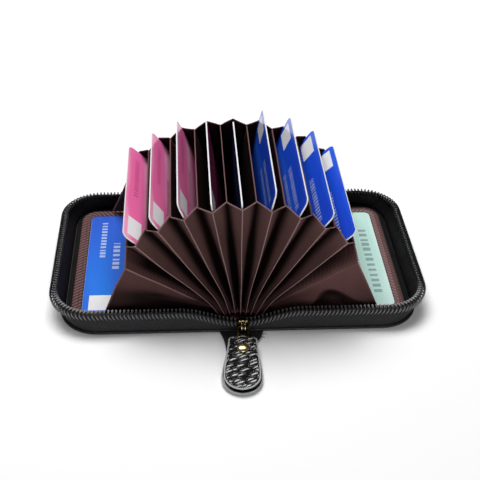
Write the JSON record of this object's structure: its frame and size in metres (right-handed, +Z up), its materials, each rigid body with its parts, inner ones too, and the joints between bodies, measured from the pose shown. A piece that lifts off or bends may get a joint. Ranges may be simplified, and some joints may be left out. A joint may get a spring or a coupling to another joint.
{
  "type": "zip card case",
  "caption": "Open zip-around leather card case: two hinged covers with clear pockets, a fan of pleated card pockets between them, zip slider and leather pull tab.",
  "frame": {"origin": "on the ground under the middle of the spine, where the open case rests", "axes": "+X across the open case from the left cover to the right cover, +Y along the spine away from the zip slider, +Z up"},
  "size_m": [0.1916, 0.1592, 0.0722],
  "materials": {
    "cover_leather": "pebbled black leather",
    "zip_tape": "woven black tape",
    "zip_teeth": "black nylon coil",
    "bellows_fabric": "fine ribbed brown fabric",
    "window_border": "stitched brown fabric",
    "window_film": "clear film",
    "cover_lining": "smooth black lining",
    "brass": "polished",
    "card_rose": "printed plastic",
    "card_plum": "printed plastic",
    "card_night": "printed plastic",
    "card_blue": "printed plastic",
    "card_azure": "printed plastic",
    "card_mint": "printed plastic"
  },
  "bodies": {
    "spine": {"spine_leather": "cover_leather", "spine_lining": "bellows_fabric", "zip_end_tongue": "zip_tape", "front_tape_web": "zip_tape", "rear_tape_web": "zip_tape", "front_teeth_left": "zip_teeth", "front_teeth_right": "zip_teeth", "rear_teeth_left": "zip_teeth", "rear_teeth_right": "zip_teeth", "zip_slider": "brass", "pleat_5": "bellows_fabric"},
    "left_cover": {"left_cover_leather": "cover_leather", "left_cover_wall": "zip_tape", "left_cover_teeth": "zip_teeth", "left_cover_lining": "cover_lining", "left_window_border": "window_border", "left_window_film": "window_film", "left_front_gusset": "bellows_fabric", "left_rear_gusset": "bellows_fabric"},
    "left_window_card": {"left_window_card": "card_azure"},
    "right_cover": {"right_cover_leather": "cover_leather", "right_cover_wall": "zip_tape", "right_cover_teeth": "zip_teeth", "right_cover_lining": "cover_lining", "right_window_border": "window_border", "right_window_film": "window_film", "right_front_gusset": "bellows_fabric", "right_rear_gusset": "bellows_fabric"},
    "right_window_card": {"right_window_card": "card_mint"},
    "divider_1": {"divider_1": "bellows_fabric"},
    "divider_2": {"divider_2": "bellows_fabric"},
    "divider_3": {"divider_3": "bellows_fabric"},
    "divider_4": {"divider_4": "bellows_fabric"},
    "divider_5": {"divider_5": "bellows_fabric"},
    "divider_6": {"divider_6": "bellows_fabric"},
    "divider_7": {"divider_7": "bellows_fabric"},
    "divider_8": {"divider_8": "bellows_fabric"},
    "divider_9": {"divider_9": "bellows_fabric"},
    "divider_10": {"divider_10": "bellows_fabric"},
    "pocket_1": {"pleat_1": "bellows_fabric"},
    "card_1": {"card_1": "card_rose"},
    "pocket_2": {"pleat_2": "bellows_fabric"},
    "card_2": {"card_2": "card_rose"},
    "pocket_3": {"pleat_3": "bellows_fabric"},
    "card_3": {"card_3": "card_rose"},
    "pocket_4": {"pleat_4": "bellows_fabric"},
    "card_4": {"card_4": "card_plum"},
    "card_5": {"card_5": "card_night"},
    "pocket_6": {"pleat_6": "bellows_fabric"},
    "card_6": {"card_6": "card_blue"},
    "pocket_7": {"pleat_7": "bellows_fabric"},
    "card_7": {"card_7": "card_blue"},
    "pocket_8": {"pleat_8": "bellows_fabric"},
    "card_8": {"card_8": "card_blue"},
    "pocket_9": {"pleat_9": "bellows_fabric"},
    "card_9": {"card_9": "card_blue"},
    "pull_ring": {"pull_ring": "brass"},
    "pull_tab": {"pull_tab": "cover_leather", "tab_rivet": "brass"}
  },
  "joints": [
    {"name": "left_cover_fold", "type": "hinge", "parent": "spine", "child": "left_cover", "pos_m": [-0.0114, 0, 0.0008], "axis": [0, 1, 0], "range_deg": [0, 90], "deforming": ["left_front_gusset", "left_rear_gusset", "front_tape_web", "rear_tape_web", "front_teeth_left", "rear_teeth_left", "pleat_1", "pleat_2", "pleat_3", "pleat_4", "pleat_5"]},
    {"name": "right_cover_fold", "type": "hinge", "parent": "spine", "child": "right_cover", "pos_m": [0.0114, 0, 0.0008], "axis": [0, -1, 0], "range_deg": [0, 90], "deforming": ["right_front_gusset", "right_rear_gusset", "front_tape_web", "rear_tape_web", "front_teeth_right", "rear_teeth_right", "pleat_5", "pleat_6", "pleat_7", "pleat_8", "pleat_9"]},
    {"name": "divider_1_swing", "type": "hinge", "parent": "spine", "child": "divider_1", "pos_m": [-0.00675, 0, 0.0026], "axis": [0, 1, 0], "range_deg": [0, 53.1]},
    {"name": "divider_2_swing", "type": "hinge", "parent": "spine", "child": "divider_2", "pos_m": [-0.00525, 0, 0.0026], "axis": [0, 1, 0], "range_deg": [0, 41.3]},
    {"name": "divider_3_swing", "type": "hinge", "parent": "spine", "child": "divider_3", "pos_m": [-0.00375, 0, 0.0026], "axis": [0, 1, 0], "range_deg": [0, 29.5]},
    {"name": "divider_4_swing", "type": "hinge", "parent": "spine", "child": "divider_4", "pos_m": [-0.00225, 0, 0.0026], "axis": [0, 1, 0], "range_deg": [0, 17.7]},
    {"name": "divider_5_swing", "type": "hinge", "parent": "spine", "child": "divider_5", "pos_m": [-0.00075, 0, 0.0026], "axis": [0, 1, 0], "range_deg": [0, 5.9]},
    {"name": "divider_6_swing", "type": "hinge", "parent": "spine", "child": "divider_6", "pos_m": [0.00075, 0, 0.0026], "axis": [0, -1, 0], "range_deg": [0, 5.9]},
    {"name": "divider_7_swing", "type": "hinge", "parent": "spine", "child": "divider_7", "pos_m": [0.00225, 0, 0.0026], "axis": [0, -1, 0], "range_deg": [0, 17.7]},
    {"name": "divider_8_swing", "type": "hinge", "parent": "spine", "child": "divider_8", "pos_m": [0.00375, 0, 0.0026], "axis": [0, -1, 0], "range_deg": [0, 29.5]},
    {"name": "divider_9_swing", "type": "hinge", "parent": "spine", "child": "divider_9", "pos_m": [0.00525, 0, 0.0026], "axis": [0, -1, 0], "range_deg": [0, 41.3]},
    {"name": "divider_10_swing", "type": "hinge", "parent": "spine", "child": "divider_10", "pos_m": [0.00675, 0, 0.0026], "axis": [0, -1, 0], "range_deg": [0, 53.1]},
    {"name": "pocket_1_swing", "type": "hinge", "parent": "spine", "child": "pocket_1", "pos_m": [-0.006, 0, 0.0026], "axis": [0, 1, 0], "range_deg": [0, 47.2]},
    {"name": "pocket_2_swing", "type": "hinge", "parent": "spine", "child": "pocket_2", "pos_m": [-0.0045, 0, 0.0026], "axis": [0, 1, 0], "range_deg": [0, 35.4]},
    {"name": "pocket_3_swing", "type": "hinge", "parent": "spine", "child": "pocket_3", "pos_m": [-0.003, 0, 0.0026], "axis": [0, 1, 0], "range_deg": [0, 23.6]},
    {"name": "pocket_4_swing", "type": "hinge", "parent": "spine", "child": "pocket_4", "pos_m": [-0.0015, 0, 0.0026], "axis": [0, 1, 0], "range_deg": [0, 11.8]},
    {"name": "pocket_6_swing", "type": "hinge", "parent": "spine", "child": "pocket_6", "pos_m": [0.0015, 0, 0.0026], "axis": [0, -1, 0], "range_deg": [0, 11.8]},
    {"name": "pocket_7_swing", "type": "hinge", "parent": "spine", "child": "pocket_7", "pos_m": [0.003, 0, 0.0026], "axis": [0, -1, 0], "range_deg": [0, 23.6]},
    {"name": "pocket_8_swing", "type": "hinge", "parent": "spine", "child": "pocket_8", "pos_m": [0.0045, 0, 0.0026], "axis": [0, -1, 0], "range_deg": [0, 35.4]},
    {"name": "pocket_9_swing", "type": "hinge", "parent": "spine", "child": "pocket_9", "pos_m": [0.006, 0, 0.0026], "axis": [0, -1, 0], "range_deg": [0, 47.2]},
    {"name": "card_1_slide", "type": "slide", "parent": "pocket_1", "child": "card_1", "axis": [-0.7337, 0, 0.6794], "range_m": [-0.012, 0.0065]},
    {"name": "card_2_slide", "type": "slide", "parent": "pocket_2", "child": "card_2", "axis": [-0.5793, 0, 0.8151], "range_m": [-0.011, 0.0075]},
    {"name": "card_3_slide", "type": "slide", "parent": "pocket_3", "child": "card_3", "axis": [-0.4003, 0, 0.9164], "range_m": [-0.0115, 0.007]},
    {"name": "card_4_slide", "type": "slide", "parent": "pocket_4", "child": "card_4", "axis": [-0.2045, 0, 0.9789], "range_m": [-0.007, 0.0115]},
    {"name": "card_5_slide", "type": "slide", "parent": "spine", "child": "card_5", "axis": [0, 0, 1], "range_m": [-0.005, 0.0135]},
    {"name": "card_6_slide", "type": "slide", "parent": "pocket_6", "child": "card_6", "axis": [0.2045, 0, 0.9789], "range_m": [-0.0135, 0.005]},
    {"name": "card_7_slide", "type": "slide", "parent": "pocket_7", "child": "card_7", "axis": [0.4003, 0, 0.9164], "range_m": [-0.013, 0.0055]},
    {"name": "card_8_slide", "type": "slide", "parent": "pocket_8", "child": "card_8", "axis": [0.5793, 0, 0.8151], "range_m": [-0.0115, 0.007]},
    {"name": "card_9_slide", "type": "slide", "parent": "pocket_9", "child": "card_9", "axis": [0.7337, 0, 0.6794], "range_m": [-0.0105, 0.008]},
    {"name": "left_window_card_slide", "type": "slide", "parent": "left_cover", "child": "left_window_card", "axis": [1, 0, 0], "range_m": [0, 0.01]},
    {"name": "right_window_card_slide", "type": "slide", "parent": "right_cover", "child": "right_window_card", "axis": [-1, 0, 0], "range_m": [0, 0.01]},
    {"name": "pull_ring_swing", "type": "hinge", "parent": "spine", "child": "pull_ring", "pos_m": [0, -0.05833, 0.0053], "axis": [-0.9976, 0.0698, 0], "range_deg": [0, 70]},
    {"name": "pull_tab_swing", "type": "hinge", "parent": "pull_ring", "child": "pull_tab", "pos_m": [-0.00058, -0.06662, 0.00413], "axis": [-0.9976, 0.0698, 0], "range_deg": [0, 20]}
  ],
  "couplings": [
    {"joint": "divider_1_swing", "follows": "left_cover_fold", "ratio": 0.59},
    {"joint": "divider_2_swing", "follows": "left_cover_fold", "ratio": 0.45889},
    {"joint": "divider_3_swing", "follows": "left_cover_fold", "ratio": 0.32778},
    {"joint": "divider_4_swing", "follows": "left_cover_fold", "ratio": 0.19667},
    {"joint": "divider_5_swing", "follows": "left_cover_fold", "ratio": 0.065556},
    {"joint": "divider_6_swing", "follows": "right_cover_fold", "ratio": 0.065556},
    {"joint": "divider_7_swing", "follows": "right_cover_fold", "ratio": 0.19667},
    {"joint": "divider_8_swing", "follows": "right_cover_fold", "ratio": 0.32778},
    {"joint": "divider_9_swing", "follows": "right_cover_fold", "ratio": 0.45889},
    {"joint": "divider_10_swing", "follows": "right_cover_fold", "ratio": 0.59},
    {"joint": "pocket_1_swing", "follows": "left_cover_fold", "ratio": 0.52444},
    {"joint": "pocket_2_swing", "follows": "left_cover_fold", "ratio": 0.39333},
    {"joint": "pocket_3_swing", "follows": "left_cover_fold", "ratio": 0.26222},
    {"joint": "pocket_4_swing", "follows": "left_cover_fold", "ratio": 0.13111},
    {"joint": "pocket_6_swing", "follows": "right_cover_fold", "ratio": 0.13111},
    {"joint": "pocket_7_swing", "follows": "right_cover_fold", "ratio": 0.26222},
    {"joint": "pocket_8_swing", "follows": "right_cover_fold", "ratio": 0.39333},
    {"joint": "pocket_9_swing", "follows": "right_cover_fold", "ratio": 0.52444}
  ]
}
